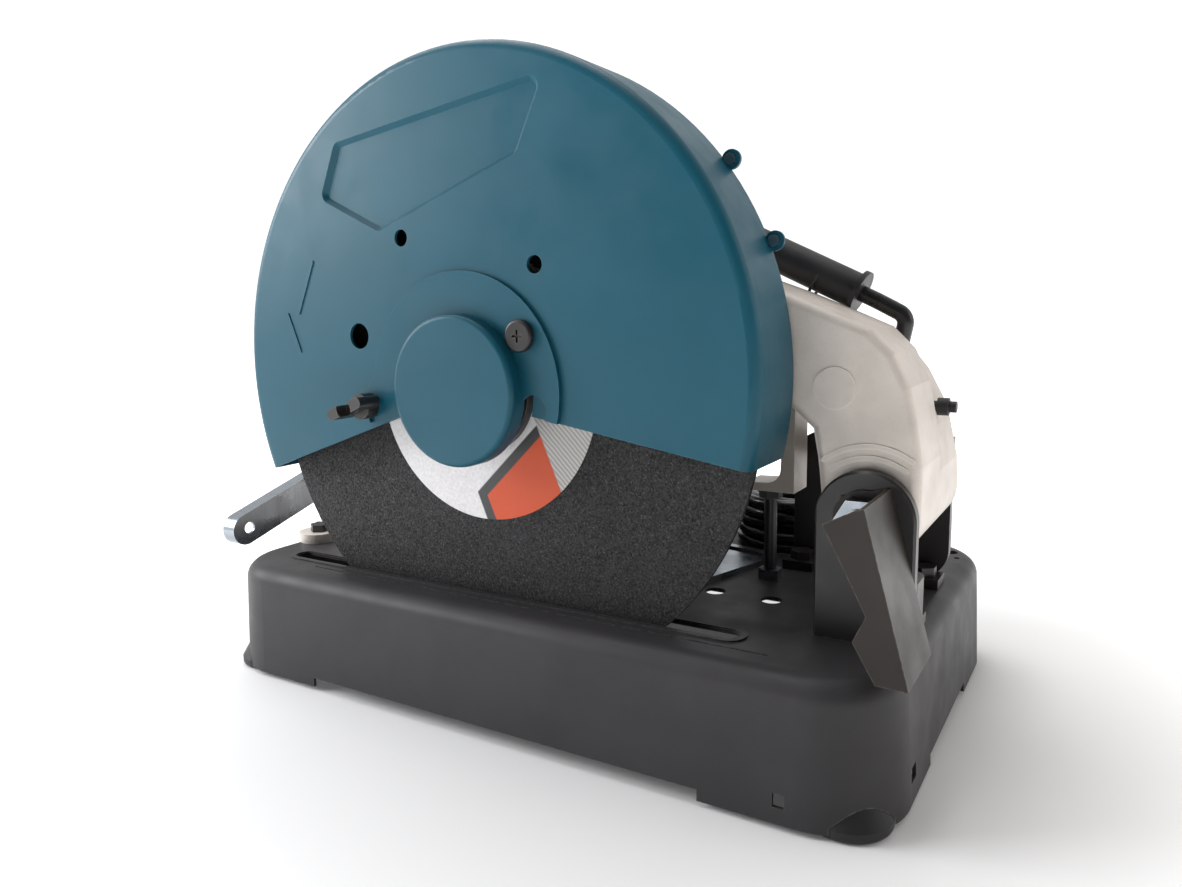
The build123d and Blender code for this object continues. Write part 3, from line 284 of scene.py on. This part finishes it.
def printed_label(low, high):
    """Paper disc with a plain two-colour wedge and a fine woven backing pattern beside it."""
    f = Finish("label_paper")
    middle = (low + high) / 2
    split = f.add("ShaderNodeSeparateXYZ")
    f.join(f.place, split.inputs["Vector"])
    y = f.math("SUBTRACT", split.outputs["Y"], middle.y)
    z = f.math("SUBTRACT", split.outputs["Z"], middle.z)

    def beyond(start, end):
        """1 on the left of the line from start to end, seen from +X with +Y to the right."""
        along = (Vector(end) - Vector(start)).normalized()
        across = f.math("SUBTRACT", f.math("MULTIPLY", z, along.x), f.math("MULTIPLY", y, along.y))
        offset = start[1] * along.x - start[0] * along.y
        return f.fit(f.math("SUBTRACT", across, offset), -LABEL_BLUR, LABEL_BLUR, 0, 1)

    def short_of(start, end):
        return f.math("SUBTRACT", 1, beyond(start, end))

    def all_of(first, second, third):
        return f.math("MULTIPLY", f.math("MULTIPLY", first, second), third)

    def bent(foot, elbow, tip):
        """1 between the bent line from foot over elbow to tip and the line on the print's right."""
        return all_of(short_of(elbow, tip), short_of(foot, elbow), below_right)

    below_right = beyond(LABEL_OUTER, LABEL_TIP)
    wedge = bent(WEDGE_FOOT, WEDGE_ELBOW, LABEL_TIP)
    band = bent(BAND_FOOT, BAND_ELBOW, BAND_TIP)

    fibre = f.noise(500, 4)
    paper = f.mix(f.fit(fibre, 0.3, 0.7, 0, 1), (0.70, 0.68, 0.69), (0.86, 0.84, 0.85))
    weave = f.add("ShaderNodeTexWave", bands_direction="DIAGONAL")
    weave.inputs["Scale"].default_value = 190
    weave.inputs["Distortion"].default_value = 1.2
    f.join(f.place, weave.inputs["Vector"])
    mesh = f.mix(weave.outputs["Fac"], (0.36, 0.35, 0.34), (0.66, 0.64, 0.62))
    right_side = f.math("SUBTRACT", 1, below_right)
    past_start = f.fit(y, WEAVE_START - WEAVE_BLUR, WEAVE_START + WEAVE_BLUR, 0, 1)
    base = f.mix(f.math("MULTIPLY", right_side, past_start), paper, mesh)
    base = f.mix(band, base, (0.055, 0.056, 0.058))
    base = f.mix(wedge, base, (0.66, 0.085, 0.022))
    f.colour(base)
    f.rough(f.fit(fibre, 0.3, 0.7, 0.45, 0.65))
    f.bump(fibre, 0.00003, 0.6)
    return f.material


def rubbery(name, colour, rough, sheen=0.0):
    """Moulded rubber or PVC with faint scuffs and dust."""
    f = Finish(name)
    scuff = f.fit(f.noise(90, 5), 0.55, 0.75, 0, 1)
    base = f.mix(f.noise(30, 3), tint(colour, 0.8), tint(colour, 1.25))
    base = f.mix(f.math("MULTIPLY", scuff, 0.25), base, tint(colour, 3.5))
    f.colour(base)
    f.rough(f.fit(scuff, 0, 1, rough, rough + 0.2))
    f.shader.inputs["Sheen Weight"].default_value = sheen
    f.bump(f.noise(1400, 3), 0.00003, 0.6)
    return f.material


# ---------------------------------------------------------------- finishes
TEAL = (0.006, 0.082, 0.124)
DARK_GREY = (0.044, 0.0415, 0.044)
DARK_BROWN = (0.024, 0.019, 0.0165)

FINISHES = {
    "base_paint": coated("base_paint", DARK_GREY, 0.46, edge_wear_and_highlight=(0.12, 0.115, 0.115), shine=0.28),
    "black_paint": coated("black_paint", (0.020, 0.018, 0.018), 0.34, edge_wear_and_highlight=(0.14, 0.11, 0.09)),
    "spark_paint": coated("spark_paint", DARK_BROWN, 0.40, edge_wear_and_highlight=(0.17, 0.14, 0.12), shine=0.3),
    "guard_paint": coated("guard_paint", TEAL, 0.40, edge_wear_and_highlight=(0.05, 0.16, 0.21), mottle=0.06, shine=0.3),
    "cast_alloy": cast_metal(),
    "zinc": bare_metal("zinc", (0.35, 0.385, 0.425), 0.27),
    "steel": bare_metal("steel", (0.44, 0.44, 0.45), 0.33),
    "copper": bare_metal("copper", (0.72, 0.40, 0.24), 0.3),
    "carbon": rubbery("carbon", (0.03, 0.03, 0.03), 0.5),
    "teal_plastic": coated("teal_plastic", (0.03, 0.15, 0.20), 0.42, grain=1500, depth=0.00008),
    "black_plastic": coated("black_plastic", (0.018, 0.018, 0.019), 0.44, grain=1600, depth=0.0001),
    "rod_paint": coated("rod_paint", (0.016, 0.016, 0.016), 0.28),
    "abrasive": grit(),
    "label_paper": printed_label(*corners_of("wheel_label")),
    "rubber": rubbery("rubber", (0.014, 0.0135, 0.0145), 0.6, sheen=0.1),
    "pin_metal": bare_metal("pin_metal", (0.74, 0.66, 0.45), 0.22),
}
CORD_RUBBER = rubbery("cord_rubber", (0.010, 0.010, 0.011), 0.24)
TIE_PLASTIC = coated("tie_plastic", (0.012, 0.012, 0.012), 0.5, grain=1500)


def dress(obj, material):
    obj.data.materials.clear()
    obj.data.materials.append(material)


def dress_cad_nodes():
    for part in frame["record"]["subparts"]:
        obj = nodes[part["node"]]
        material = FINISHES[part["material_slot"]]
        for place in obj.material_slots:
            place.material = material


# ---------------------------------------------------------------- piece helpers
def new_piece(name, data, material, body):
    piece = bpy.data.objects.new(name, data)
    bpy.context.scene.collection.objects.link(piece)
    dress(piece, material)
    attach(piece, body)
    return piece


def mesh_of(name, build, smooth=True):
    data = bpy.data.meshes.new(name)
    bm = bmesh.new()
    build(bm)
    bmesh.ops.recalc_face_normals(bm, faces=bm.faces)
    bm.to_mesh(data)
    bm.free()
    for face in data.polygons:
        face.use_smooth = smooth
    return data


def tube_mesh(name, path, section, closed=False):
    """Skin of one (across, up) section carried along path, closed to a ring or with flat ends."""

    def build(bm):
        count = len(path)
        rings = []
        up = None
        for i, point in enumerate(path):
            before = path[(i - 1) % count] if closed or i else point
            after = path[(i + 1) % count] if closed or i < count - 1 else point
            way = (after - before).normalized()
            if up is None:
                up = way.orthogonal().normalized()
            up = (up - way * up.dot(way)).normalized()
            across = way.cross(up)
            rings.append([bm.verts.new(point + across * a + up * b) for a, b in section])
        pairs = list(zip(rings, rings[1:]))
        if closed:
            pairs.append((rings[-1], rings[0]))
        for one, two in pairs:
            for k in range(len(one)):
                j = (k + 1) % len(one)
                bm.faces.new((one[k], one[j], two[j], two[k]))
        if not closed:
            bm.faces.new(rings[0])
            bm.faces.new(rings[-1])

    return mesh_of(name, build)


def around(count):
    """Cosine and sine of count even steps round a full turn."""
    return [(cos(2 * pi * k / count), sin(2 * pi * k / count)) for k in range(count)]


def round_section(radius, sides):
    return [(c * radius, s * radius) for c, s in around(sides)]


# ---------------------------------------------------------------- cord
CORD_D = 7.6 * MM
COIL_MIDDLE = Vector((-96, 112, 0)) * MM
COIL_RADIUS = 38.0 * MM  # middle of the turns
COIL_LOW = 81.6 * MM  # centre of the lowest turn
COIL_TOP_LAYER = 4  # counted from 0
COIL_SLOTS = 9
COIL_SHIFT = 45.0  # degrees over which the cord moves to its next place in the coil
POINTS_PER_TURN = 24
FALL = [(-73, 186, 200), (-110, 186, 200), (-134, 180, 172), (-139, 165, 140), (-138, 143, 118)]  # mm
TAIL = [(-135, 76, 82), (-127, 50, 84.5), (-121, 24, 84.5)]  # mm
TIE_ANGLE = radians(35)  # round the coil from +X
TIE_GAP_ACROSS, TIE_GAP_HIGH = 0.5 * MM, 0.45 * MM
TIE_CORNER, TIE_SQUARENESS, TIE_STEPS = 3.4 * MM, 1.9, 40
TIE_HALF_WIDTH, TIE_THICKNESS = 2.4 * MM, 0.35 * MM


def coil_points():
    """Eight full turns through nine places, two side by side and five high."""
    columns = [1, 0, 0, 1, 1, 0, 0, 1, 1]
    layers = [COIL_TOP_LAYER - k // 2 for k in range(COIL_SLOTS)]
    held = 360 - COIL_SHIFT
    total = 360 * COIL_SLOTS - COIL_SHIFT * (COIL_SLOTS - 1)
    steps = round(total / 360 * POINTS_PER_TURN)
    swell = 2 / (1 + cos(2 * pi / POINTS_PER_TURN))  # a quadratic spline cuts inside its points
    points = []
    for step in range(steps + 1):
        turned = total * step / steps
        place, next_place, blend = slot_at(turned, held)
        column = columns[place] * (1 - blend) + columns[next_place] * blend
        layer = layers[place] * (1 - blend) + layers[next_place] * blend
        radius = (COIL_RADIUS + (column - 0.5) * CORD_D) * swell
        angle = radians(180 + turned)
        points.append(
            COIL_MIDDLE
            + Vector((cos(angle) * radius, sin(angle) * radius, COIL_LOW + layer * CORD_D))
        )
    return points


def slot_at(turned, held):
    """The coil place at this angle, the next one, and how far the cord has moved between them."""
    place = 0
    while place < COIL_SLOTS - 1 and turned >= held:
        turned -= held
        place += 1
    if place == 0 or turned >= COIL_SHIFT:
        return place, place, 0.0
    part = turned / COIL_SHIFT
    return place - 1, place, (1 - cos(pi * part)) / 2


def make_cord():
    points = [Vector(p) * MM for p in FALL] + coil_points() + [Vector(p) * MM for p in TAIL]
    data = bpy.data.curves.new("cord", "CURVE")
    data.dimensions = "3D"
    line = data.splines.new("NURBS")
    line.points.add(len(points) - 1)
    for spot, point in zip(line.points, points):
        spot.co = (*point, 1)
    line.order_u = 3
    line.use_endpoint_u = True
    line.resolution_u = 4
    data.bevel_depth = CORD_D / 2
    data.bevel_resolution = 4
    data.use_fill_caps = True
    cord = new_piece("cord", data, CORD_RUBBER, "base")
    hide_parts("cord_free", "cord_coil", "cord_tail")


def squared(value):
    """Sine or cosine steepened and cut off at 1, for a rounded square instead of a circle."""
    return max(-1, min(1, TIE_SQUARENESS * value))


def make_tie():
    """Flat closed tie round all the turns of the coil."""
    outward = Vector((cos(TIE_ANGLE), sin(TIE_ANGLE), 0))
    middle = COIL_MIDDLE + outward * COIL_RADIUS + Vector((0, 0, COIL_LOW + COIL_TOP_LAYER / 2 * CORD_D))
    half_wide = CORD_D + TIE_GAP_ACROSS
    half_high = (COIL_TOP_LAYER + 1) / 2 * CORD_D + TIE_GAP_HIGH
    path = []
    for c, s in around(TIE_STEPS):
        across = squared(c) * (half_wide - TIE_CORNER) + c * TIE_CORNER
        high = squared(s) * (half_high - TIE_CORNER) + s * TIE_CORNER
        path.append(middle + outward * across + Vector((0, 0, high)))
    side = Vector((-outward.y, outward.x, 0))

    def build(bm):
        rings = []
        for k, point in enumerate(path):
            away = (point - middle).normalized()
            rings.append(
                [
                    bm.verts.new(point + side * s * TIE_HALF_WIDTH + away * t * TIE_THICKNESS)
                    for s, t in ((-1, -1), (1, -1), (1, 1), (-1, 1))
                ]
            )
        for one, two in zip(rings, rings[1:] + rings[:1]):
            for k in range(4):
                j = (k + 1) % 4
                bm.faces.new((one[k], one[j], two[j], two[k]))

    tie = new_piece("cord_tie", mesh_of("cord_tie", build, smooth=False), TIE_PLASTIC, "base")


# ---------------------------------------------------------------- small detail
THREAD_FAR, THREAD_NEAR = 165 * MM, 6 * MM  # in front of the jaw
THREAD_PITCH, THREAD_STEPS, THREAD_RIDGE = 3 * MM, 20, 0.28 * MM
STRAIN_RINGS, STRAIN_RING_THICKNESS = 7, 0.8 * MM
STRAIN_TIP, STRAIN_ROOT = 3 * MM, 27 * MM  # from the thin end of the strain relief
STRAIN_THIN, STRAIN_THICK, STRAIN_PROUD = 5.2 * MM, 8.3 * MM, 0.1 * MM
GRIP_BANDS = (-36 * MM, 36 * MM)  # along the grip from its middle
GRIP_RADIUS, GRIP_RING_THICKNESS = 10.1 * MM, 0.9 * MM


def make_screw_thread():
    """Rolled thread along the vise screw, up to the jaw."""
    low, high = corners_of("vise_screw")
    jaw_front = corners_of("vise_jaw")[0].y
    middle_x, middle_z = (low.x + high.x) / 2, (low.z + high.z) / 2
    radius = (high.x - low.x) / 2
    start, end = jaw_front - THREAD_FAR, jaw_front - THREAD_NEAR
    count = int((end - start) / THREAD_PITCH * THREAD_STEPS)
    path = []
    for k in range(count + 1):
        angle = 2 * pi * k / THREAD_STEPS
        x, z = middle_x + cos(angle) * radius, middle_z + sin(angle) * radius
        path.append(Vector((x, start + THREAD_PITCH * k / THREAD_STEPS, z)))
    ridge = round_section(THREAD_RIDGE, 5)
    thread = new_piece("screw_thread", tube_mesh("screw_thread", path, ridge), FINISHES["zinc"], "screw")


def add_ring(name, path, thickness, slot):
    """Closed round ring on the head body, with the finish of its material slot."""
    data = tube_mesh(name, path, round_section(thickness, 8), closed=True)
    ring = new_piece(name, data, FINISHES[slot], "head")


def make_strain_ribs():
    """Rings moulded round the cord's strain relief."""
    low, high = corners_of("cord_gland")
    middle_y, middle_z = (low.y + high.y) / 2, (low.z + high.z) / 2
    tip, root = low.x + STRAIN_TIP, low.x + STRAIN_ROOT
    for k in range(STRAIN_RINGS):
        part = k / (STRAIN_RINGS - 1)
        x = tip + (root - tip) * part
        radius = STRAIN_THIN + (STRAIN_THICK - STRAIN_THIN) * part + STRAIN_PROUD
        path = [Vector((x, middle_y + c * radius, middle_z + s * radius)) for c, s in around(32)]
        add_ring(f"strain_ring_{k + 1}", path, STRAIN_RING_THICKNESS, "rubber")


def make_grip_ribs():
    """Two moulded bands on the carry grip, square to the rod."""
    low, high = corners_of("carry_grip")
    front, rear = Vector((0, low.y, high.z)), Vector((0, high.y, low.z))
    way = (rear - front).normalized()
    side = Vector((1, 0, 0))
    up = way.cross(side).normalized()
    middle = Vector(((low.x + high.x) / 2, (low.y + high.y) / 2, (low.z + high.z) / 2))
    for k, offset in enumerate(GRIP_BANDS):
        path = [middle + way * offset + (side * c + up * s) * GRIP_RADIUS for c, s in around(40)]
        add_ring(f"grip_band_{k + 1}", path, GRIP_RING_THICKNESS, "black_plastic")


# ---------------------------------------------------------------- stage
DARK_SIDE = Vector((0.85, 0.5, 0.05))  # where the studio sends least light from
SKY_BRIGHT, SKY_DIM, SKY_SEEN = 0.8, 0.05, 1.1  # away from the dark side, towards it, to the camera
FADE_START, FADE_END = -0.5, 0.85  # cosines of the angle from the dark side
FLOOR_RADIUS = 40
GLOW_START, GLOW_END = 0.25, 0.7  # m from the middle, over which the floor starts to glow
GLOW_NEAR, GLOW_FAR = 0.06, 0.9
SAW_MIDDLE = (0, 0, 0.2)
LIGHTS = (  # name, place, aim, width and length, watts, colour
    ("top_soft", (-0.1, -0.5, 1.7), SAW_MIDDLE, (1.4, 1.4), 16, (1, 1, 1)),
    ("key_front", (0.75, -1.25, 0.7), (0.1, -0.1, 0.2), (0.7, 0.7), 17, (0.97, 0.98, 1.0)),
    ("rear_warm", (-0.45, 1.7, 0.9), SAW_MIDDLE, (1.0, 1.0), 4, (1.0, 0.90, 0.80)),
)


def make_floor():
    """Pale floor, which glows away from the saw so that it meets the white background."""

    def build(bm):
        bmesh.ops.create_circle(bm, cap_ends=True, segments=96, radius=FLOOR_RADIUS)

    floor = bpy.data.objects.new("floor", mesh_of("floor", build, smooth=False))
    bpy.context.scene.collection.objects.link(floor)
    f = Finish("floor_white")
    f.colour(f.mix(f.noise(3, 2), (0.90, 0.90, 0.90), (0.93, 0.93, 0.93)))
    f.rough(f.fit(f.noise(6, 2), 0.3, 0.7, 0.75, 0.9))
    distance = f.add("ShaderNodeVectorMath", operation="LENGTH")
    f.join(f.place, distance.inputs[0])
    f.shader.inputs["Emission Color"].default_value = (1, 1, 1, 1)
    glow = f.fit(distance.outputs["Value"], GLOW_START, GLOW_END, GLOW_NEAR, GLOW_FAR, smooth=True)
    f.join(glow, f.shader.inputs["Emission Strength"])
    dress(floor, f.material)


def area_light(name, at, towards, size, power, colour):
    data = bpy.data.lights.new(name, "AREA")
    data.shape = "RECTANGLE"
    data.size, data.size_y = size
    data.energy = power
    data.color = colour
    light = bpy.data.objects.new(name, data)
    light.location = at
    light.rotation_euler = (Vector(towards) - Vector(at)).to_track_quat("-Z", "Y").to_euler()
    bpy.context.scene.collection.objects.link(light)


def light_stage():
    """White surroundings that light the saw from all round but the dark side of the studio."""
    world = bpy.data.worlds.new("studio")
    world.use_nodes = True
    tree = world.node_tree
    sky = tree.nodes["Background"]
    sky.inputs["Color"].default_value = (1, 1, 1, 1)
    way = tree.nodes.new("ShaderNodeTexCoord")
    side = tree.nodes.new("ShaderNodeVectorMath")
    side.operation = "DOT_PRODUCT"
    side.inputs[1].default_value = DARK_SIDE.normalized()
    tree.links.new(way.outputs["Generated"], side.inputs[0])
    fade = tree.nodes.new("ShaderNodeMapRange")
    fade.interpolation_type = "SMOOTHSTEP"
    fade.inputs["From Min"].default_value = FADE_START
    fade.inputs["From Max"].default_value = FADE_END
    fade.inputs["To Min"].default_value = SKY_BRIGHT
    fade.inputs["To Max"].default_value = SKY_DIM
    tree.links.new(side.outputs["Value"], fade.inputs["Value"])
    seen = tree.nodes.new("ShaderNodeLightPath")
    strength = tree.nodes.new("ShaderNodeMix")
    tree.links.new(seen.outputs["Is Camera Ray"], strength.inputs[0])
    tree.links.new(fade.outputs["Result"], strength.inputs[2])
    strength.inputs[3].default_value = SKY_SEEN
    tree.links.new(strength.outputs[0], sky.inputs["Strength"])
    bpy.context.scene.world = world
    bpy.context.scene.view_settings.view_transform = "Standard"
    for light in LIGHTS:
        area_light(*light)


set_camera()
make_cord()
make_tie()
make_screw_thread()
make_strain_ribs()
make_grip_ribs()
dress_cad_nodes()
make_floor()
light_stage()
